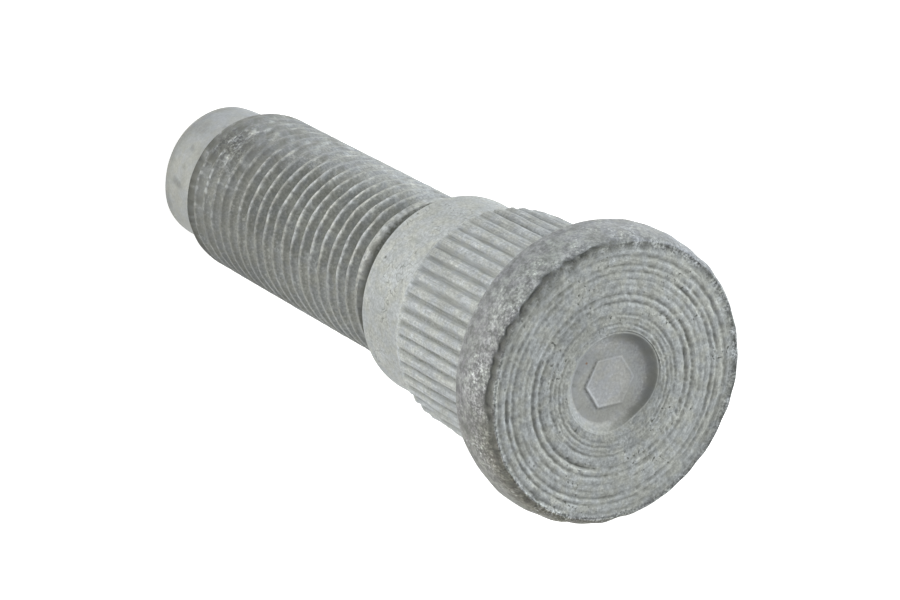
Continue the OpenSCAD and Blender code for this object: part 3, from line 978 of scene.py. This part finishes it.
class Graph:
    """Small helper that adds shader nodes and links them."""

    def __init__(self, tree):
        self.tree = tree
        tree.nodes.clear()

    def add(self, kind, inputs=(), **settings):
        """New node of a kind; inputs maps socket names or numbers to values or sockets."""
        node = self.tree.nodes.new(kind)
        for key, value in settings.items():
            setattr(node, key, value)
        for key, value in dict(inputs).items():
            self.put(node.inputs[key], value)
        return node

    def put(self, socket, value):
        """Links a socket or sets its value."""
        if isinstance(value, bpy.types.NodeSocket):
            self.tree.links.new(value, socket)
        else:
            socket.default_value = value

    def math(self, operation, a, b=0.0, clamp=False):
        """One arithmetic step on two values."""
        node = self.add("ShaderNodeMath", {0: a, 1: b}, operation=operation, use_clamp=clamp)
        return node.outputs[0]

    def vector(self, operation, *values):
        """One step on vectors that gives a vector."""
        inputs = dict(enumerate(values))
        return self.add("ShaderNodeVectorMath", inputs, operation=operation).outputs["Vector"]

    def plus(self, a, b):
        """Sum of two values."""
        return self.math("ADD", a, b)

    def less(self, a, b, clamp=False):
        """First value less the second."""
        return self.math("SUBTRACT", a, b, clamp)

    def times(self, a, b, clamp=False):
        """Product of two values."""
        return self.math("MULTIPLY", a, b, clamp)

    def most(self, a, b, clamp=False):
        """Larger of two values."""
        return self.math("MAXIMUM", a, b, clamp)

    def vary(self, tone, swing):
        """Tone times one plus a swing."""
        return self.times(tone, self.plus(1.0, swing))

    def ramp(self, value, low, high, to_low=0.0, to_high=1.0):
        """Smooth change from to_low to to_high while value goes from low to high."""
        node = self.add(
            "ShaderNodeMapRange",
            {"Value": value, "From Min": low, "From Max": high, "To Min": to_low, "To Max": to_high},
            interpolation_type="SMOOTHSTEP",
        )
        return node.outputs["Result"]

    def mix(self, share, a, b, blend="MIX"):
        """Mixes two colours."""
        node = self.add("ShaderNodeMix", data_type="RGBA", blend_type=blend)
        self.put(node.inputs["Factor"], share)
        self.put(node.inputs[6], a)
        self.put(node.inputs[7], b)
        return node.outputs[2]

    def grain(self, place, scale, detail=4.0, roughness=0.55, stretch=None):
        """Noise of a scale in features a metre."""
        if stretch is not None:
            place = self.add("ShaderNodeMapping", {"Vector": place, "Scale": stretch}).outputs[0]
        node = self.add(
            "ShaderNodeTexNoise",
            {"Vector": place, "Scale": scale, "Detail": detail, "Roughness": roughness},
        )
        return node.outputs["Fac"]


def rgba(colour):
    """Colour with full alpha."""
    return (*tuple(colour)[:3], 1.0)


def coated_steel(f):
    """Worn grey coating: zone colours from the mesh, with painted light and shade in them, and darkening in
    hollows that is partly painted shade and partly dirt; mottling and grain from noise.

    Arcs run round the turned face and long streaks along the ribs; both are noise read on polar
    coordinates worked out from the object's own, with the direction kept as a sine and a cosine.
    """
    material = bpy.data.materials.new(SLOT)
    material.use_nodes = True
    g = Graph(material.node_tree)
    place = g.add("ShaderNodeTexCoord").outputs["Object"]
    marks = g.add("ShaderNodeAttribute", attribute_name="marks")
    split = g.add("ShaderNodeSeparateColor", {0: marks.outputs["Color"]})
    shade_and_dirt, rubbed, grit = split.outputs[0], split.outputs[1], split.outputs[2]
    turned = marks.outputs["Alpha"]
    coat = g.add("ShaderNodeAttribute", attribute_name="coat")
    crumbly = g.times(coat.outputs["Alpha"], -1.0, clamp=True)
    ribbed = g.most(coat.outputs["Alpha"], 0.0)

    xyz = g.add("ShaderNodeSeparateXYZ", {0: place})
    flat = g.add("ShaderNodeCombineXYZ", {0: xyz.outputs[0], 1: xyz.outputs[1]}).outputs[0]
    radius = g.add("ShaderNodeVectorMath", {0: flat}, operation="LENGTH").outputs["Value"]
    way = g.vector("NORMALIZE", flat)
    rise = g.add("ShaderNodeCombineXYZ", {2: radius}).outputs[0]
    arc = g.vector("MULTIPLY", way, (9.0, 9.0, 0.0))
    arc = g.vector("MULTIPLY_ADD", rise, (0.0, 0.0, 6500.0), arc)
    arcs = g.grain(arc, 1.0, 3.0, 0.6)
    streaks = g.grain(place, 1.0, 3.0, 0.6, stretch=(8200.0, 8200.0, 620.0))

    blotch = g.grain(place, 420.0, 4.0, 0.6)
    mottle = g.grain(place, 1500.0, 4.0, 0.65)
    fine = g.grain(place, 4600.0, 3.0, 0.65)
    speck = g.grain(place, 3300.0, 1.0, 0.4)

    tone = g.ramp(blotch, 0.32, 0.68, 0.92, 1.08)
    reach = g.ramp(grit, 0.0, 0.35, 0.08, 0.19)
    wide = g.times(g.ramp(fine, 0.32, 0.68, -1.0, 1.0), reach)
    tone = g.vary(tone, wide)
    wide = g.ramp(mottle, 0.34, 0.66, -0.34, 0.34)
    forged = g.plus(g.ramp(grit, 0.30, 1.0, 0.04, 1.0), g.times(turned, 0.42))
    tone = g.vary(tone, g.times(forged, wide))
    wide = g.ramp(arcs, 0.34, 0.66, -0.09, 0.09)
    tone = g.vary(tone, g.times(turned, wide))
    wide = g.ramp(streaks, 0.34, 0.66, -0.18, 0.18)
    tone = g.vary(tone, g.times(ribbed, wide))

    wide = g.times(g.ramp(fine, 0.43, 0.57, -0.46, 0.46), crumbly)
    tone = g.vary(tone, wide)

    # Crest colour where the surface is rubbed: wear, and partly a painted highlight.
    shine = g.times(rubbed, g.ramp(mottle, 0.38, 0.52, 0.25, 1.0), clamp=True)
    patch = g.ramp(blotch, 0.46, 0.62, 0.0, 1.0)
    bright = g.times(patch, g.plus(0.2, grit))
    bright = g.most(bright, g.times(1.5, g.times(rubbed, grit)))
    bright = g.times(g.ramp(fine, 0.54, 0.66, 0.0, 0.52), bright)
    shine = g.times(shine, g.ramp(grit, 0.35, 1.0, 1.0, 0.5))
    shine = g.most(shine, bright)
    colour = g.mix(shine, coat.outputs["Color"], rgba(f.crest))
    grey = g.add("ShaderNodeCombineColor", {0: tone, 1: tone, 2: tone}).outputs[0]
    colour = g.mix(1.0, colour, grey, "MULTIPLY")
    hue = g.grain(place, 760.0, 3.0, 0.6)
    tint = g.mix(g.ramp(hue, 0.40, 0.60), (1.015, 1.0, 0.965, 1.0), (0.99, 0.995, 1.03, 1.0))
    strong = g.mix(g.ramp(hue, 0.42, 0.58), (0.990, 1.008, 0.985, 1.0), (1.000, 0.996, 1.022, 1.0))
    tint = g.mix(g.ramp(grit, 0.5, 1.0), tint, strong)
    colour = g.mix(1.0, colour, tint, "MULTIPLY")

    patchy = g.ramp(blotch, 0.50, 0.62, 0.0, 1.0)
    pits = g.times(g.ramp(speck, 0.62, 0.74, 0.0, 0.75), patchy)
    pits = g.times(pits, g.plus(grit, turned), clamp=True)
    # Darkening in hollows towards the grime colour: painted shade and dirt.
    dirt_and_shade = g.times(shade_and_dirt, g.ramp(fine, 0.38, 0.60, 0.25, 0.95))
    hair = g.math("ABSOLUTE", g.less(g.grain(place, 700.0, 2.0, 0.6), 0.5))
    hair = g.times(g.ramp(hair, 0.0, 0.020, 1.0, 0.0), g.ramp(blotch, 0.44, 0.56, 0.12, 0.62))
    plain = g.times(g.ramp(ribbed, 0.05, 0.15), g.ramp(ribbed, 0.25, 0.50, 1.0, 0.0))
    dirt_and_shade = g.most(dirt_and_shade, g.times(hair, plain))
    dirt_and_shade = g.most(dirt_and_shade, pits, clamp=True)
    colour = g.mix(dirt_and_shade, colour, rgba(f.grime))

    for specks, paint in ((RUST_SPECKS, f.rust), (DARK_PITS, f.grime)):
        for x, y, z, half in specks:
            gap = g.add("ShaderNodeVectorMath", {0: place, 1: (x * MM, y * MM, z * MM)}, operation="DISTANCE")
            spot = g.ramp(gap.outputs["Value"], 0.4 * half * MM, half * MM, 0.8, 0.0)
            colour = g.mix(spot, colour, rgba(paint))

    rough = g.plus(f.roughness - 0.10, g.times(mottle, 0.22))
    rough = g.less(rough, g.times(shine, 0.10), clamp=True)

    relief = g.times(fine, g.ramp(grit, 0.0, 0.35, 0.008, 0.024))
    relief = g.plus(relief, g.times(g.times(mottle, forged), 0.14))
    relief = g.plus(relief, g.times(g.times(arcs, turned), 0.024))
    relief = g.plus(relief, g.times(g.times(streaks, ribbed), 0.036))
    relief = g.less(relief, g.times(pits, 0.04))
    bump = g.add("ShaderNodeBump", {"Strength": 1.0, "Distance": MM, "Height": relief})

    shader = g.add(
        "ShaderNodeBsdfPrincipled",
        {"Base Color": colour, "Metallic": f.metallic, "Roughness": rough, "Normal": bump.outputs[0]},
    )
    g.add("ShaderNodeOutputMaterial", {"Surface": shader.outputs[0]})
    return material


# Tiny rust specks: the place of each on the stud and its radius, in millimetres.
RUST_SPECKS = (
    (-0.76, -3.69, 60.50, 0.13),
    (-0.38, -2.67, 60.03, 0.13),
    (9.45, -6.40, 59.65, 0.14),
)


# Small dark pits in the collar, given in the same way.
DARK_PITS = (
    (-0.22, -8.22, 38.70, 0.17),
    (-4.36, -6.98, 38.00, 0.15),
)


# studio


def studio_floor():
    """Level pale floor that shows white to the camera and still takes the stud's shadow."""
    mesh = bpy.data.meshes.new("studio_floor")
    half = 1.5
    corners = np.array([[-1, -1, 0], [1, -1, 0], [1, 1, 0], [-1, 1, 0]]) * half
    mesh.from_pydata(corners.tolist(), [], [[0, 1, 2, 3]])
    floor = bpy.data.objects.new("studio_floor", mesh)
    bpy.context.scene.collection.objects.link(floor)
    material = bpy.data.materials.new("pale_floor")
    material.use_nodes = True
    g = Graph(material.node_tree)
    grain = g.grain(g.add("ShaderNodeTexCoord").outputs["Object"], 60.0)
    colour = g.mix(g.ramp(grain, 0.3, 0.7), (0.81, 0.80, 0.77, 1.0), (0.85, 0.84, 0.81, 1.0))
    paint = g.add("ShaderNodeBsdfDiffuse", {"Color": colour})
    path = g.add("ShaderNodeLightPath")
    seen = g.most(path.outputs["Is Camera Ray"], path.outputs["Is Glossy Ray"])
    seen = g.most(seen, path.outputs["Is Transmission Ray"])
    glow = g.add("ShaderNodeEmission", {"Color": (1, 1, 1, 1), "Strength": g.times(seen, 0.8)})
    both = g.add("ShaderNodeAddShader", {0: paint.outputs[0], 1: glow.outputs[0]})
    g.add("ShaderNodeOutputMaterial", {"Surface": both.outputs[0]})
    mesh.materials.append(material)


def sky(strength):
    """Even pale surroundings, white where the camera sees them."""
    world = bpy.data.worlds.new("studio_sky")
    world.use_nodes = True
    bpy.context.scene.world = world
    g = Graph(world.node_tree)
    path = g.add("ShaderNodeLightPath")
    seen = g.most(path.outputs["Is Camera Ray"], path.outputs["Is Transmission Ray"])
    power = g.ramp(seen, 0.0, 1.0, strength, 1.0)
    back = g.add("ShaderNodeBackground", {"Color": (0.97, 0.985, 1.0, 1.0), "Strength": power})
    g.add("ShaderNodeOutputWorld", {"Surface": back.outputs[0]})


# Low lamps round the stud, all under the level of its face: name, azimuth, share of the brightest.
LOW_STRIPS = (("left_strip", -80.0, 1.0), ("lower_strip", -15.0, 0.25), ("upper_strip", -165.0, 0.10))

# The photograph's camera: how high it looks down from, how far it is turned about its line of sight,
# both in degrees, and its place seen from the middle of the face.
CAMERA_RAISED = 53.7309
CAMERA_ROLL = 118.5274
CAMERA_FROM_FACE = np.array([0.317, -186.727, 231.371]) * MM


def camera_at(lens, face_z):
    """Camera at the photograph's place, looking along its line of sight."""
    data = bpy.data.cameras.new("photo_camera")
    data.lens, data.sensor_width, data.sensor_fit = lens, 36.0, "HORIZONTAL"
    data.clip_start, data.clip_end = 0.01, 10.0
    camera = bpy.data.objects.new("photo_camera", data)
    bpy.context.scene.collection.objects.link(camera)
    place = CAMERA_FROM_FACE + np.array([0.0, 0.0, face_z])
    turn = np.eye(4)
    raised, roll = math.radians(CAMERA_RAISED), math.radians(CAMERA_ROLL)
    level, upright = np.array([1.0, 0.0, 0.0]), np.array([0.0, math.sin(raised), math.cos(raised)])
    right = math.cos(roll) * level + math.sin(roll) * upright
    up = math.cos(roll) * upright - math.sin(roll) * level
    turn[:3, :3] = np.stack([right, up, np.cross(right, up)], axis=1)
    turn[:3, 3] = place
    camera.matrix_world = Matrix(turn.tolist())
    bpy.context.scene.camera = camera


def soft_lamp(name, azimuth, distance, height, power, width, tall, aim, colour):
    """Rectangular lamp at an azimuth round the stud, facing a point on its axis."""
    data = bpy.data.lights.new(name, "AREA")
    data.shape, data.size, data.size_y, data.energy = "RECTANGLE", width, tall, power
    data.color = tuple(colour)
    lamp = bpy.data.objects.new(name, data)
    lamp.visible_camera = False
    bpy.context.scene.collection.objects.link(lamp)
    way = math.radians(azimuth)
    place = np.array([distance * math.cos(way), distance * math.sin(way), height])
    away = place - np.array([0.0, 0.0, aim])
    away = away / np.linalg.norm(away)
    side = np.cross([0.0, 0.0, 1.0], away)
    side = side / np.linalg.norm(side)
    turn = np.eye(4)
    turn[:3, :3] = np.stack([side, np.cross(away, side), away], axis=1)
    turn[:3, 3] = place
    lamp.matrix_world = Matrix(turn.tolist())


# operators


class OBJECT_OT_wheel_stud(bpy.types.Operator):
    """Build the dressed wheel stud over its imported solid"""

    bl_idname = "object.build_wheel_stud"
    bl_label = "Wheel stud"

    def execute(self, context):
        s, f = context.scene.stud_sizes, context.scene.stud_finish
        skin = Skin()
        core = add_pilot(skin, s, f)
        add_thread(skin, s, f, core)
        top, painted_side_shade = add_collar(skin, s, f, core)
        near = add_knurl(skin, s, f, top, painted_side_shade)
        add_head_back(skin, s, f, near)
        add_head_side(skin, s, f)
        add_face(skin, s, f)
        add_recess(skin, s, f)
        mesh = skin.mesh("stud_body")
        mesh.materials.append(coated_steel(f))
        mesh.shade_smooth()
        mesh.set_sharp_from_angle(angle=math.radians(50.0))
        stud = bpy.data.objects.new("stud_body", mesh)
        context.scene.collection.objects.link(stud)
        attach(stud, "root")
        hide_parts(NODE)
        return {"FINISHED"}


class OBJECT_OT_stud_studio(bpy.types.Operator):
    """Lay the floor and set the lamps, the surroundings and the camera"""

    bl_idname = "object.build_stud_studio"
    bl_label = "Studio"

    def execute(self, context):
        st = context.scene.stud_studio
        context.scene.view_settings.view_transform = "Standard"
        studio_floor()
        sky(st.sky)
        camera_at(st.lens, context.scene.stud_sizes.length)
        soft_lamp("key_lamp", 145.0, 0.42, 0.30, st.key, 0.30, 0.30, 0.04, st.cool)
        for name, azimuth, share in LOW_STRIPS:
            soft_lamp(name, azimuth, 0.40, 0.03, share * st.strip, 0.50, 0.055, 0.03, st.warm)
        return {"FINISHED"}


class VIEW3D_PT_wheel_stud(bpy.types.Panel):
    """Sidebar panel with the builders and their values"""

    bl_label = "Wheel Stud"
    bl_space_type = "VIEW_3D"
    bl_region_type = "UI"
    bl_category = "Wheel Stud"

    def draw(self, context):
        for group in (context.scene.stud_sizes, context.scene.stud_finish, context.scene.stud_studio):
            box = self.layout.box()
            for name in group.__annotations__:
                box.prop(group, name)
        self.layout.operator(OBJECT_OT_wheel_stud.bl_idname)
        self.layout.operator(OBJECT_OT_stud_studio.bl_idname)


CLASSES = (
    StudSizes,
    StudFinish,
    StudioSettings,
    OBJECT_OT_wheel_stud,
    OBJECT_OT_stud_studio,
    VIEW3D_PT_wheel_stud,
)


def register():
    """Registers the classes and hangs the property groups on the scene."""
    for cls in CLASSES:
        bpy.utils.register_class(cls)
    bpy.types.Scene.stud_sizes = bpy.props.PointerProperty(type=StudSizes)
    bpy.types.Scene.stud_finish = bpy.props.PointerProperty(type=StudFinish)
    bpy.types.Scene.stud_studio = bpy.props.PointerProperty(type=StudioSettings)


def unregister():
    """Takes the property groups and the classes away again."""
    del bpy.types.Scene.stud_studio
    del bpy.types.Scene.stud_finish
    del bpy.types.Scene.stud_sizes
    for cls in reversed(CLASSES):
        bpy.utils.unregister_class(cls)


def main():
    register()
    bpy.ops.object.build_wheel_stud()
    bpy.ops.object.build_stud_studio()


if __name__ == "__main__":
    main()
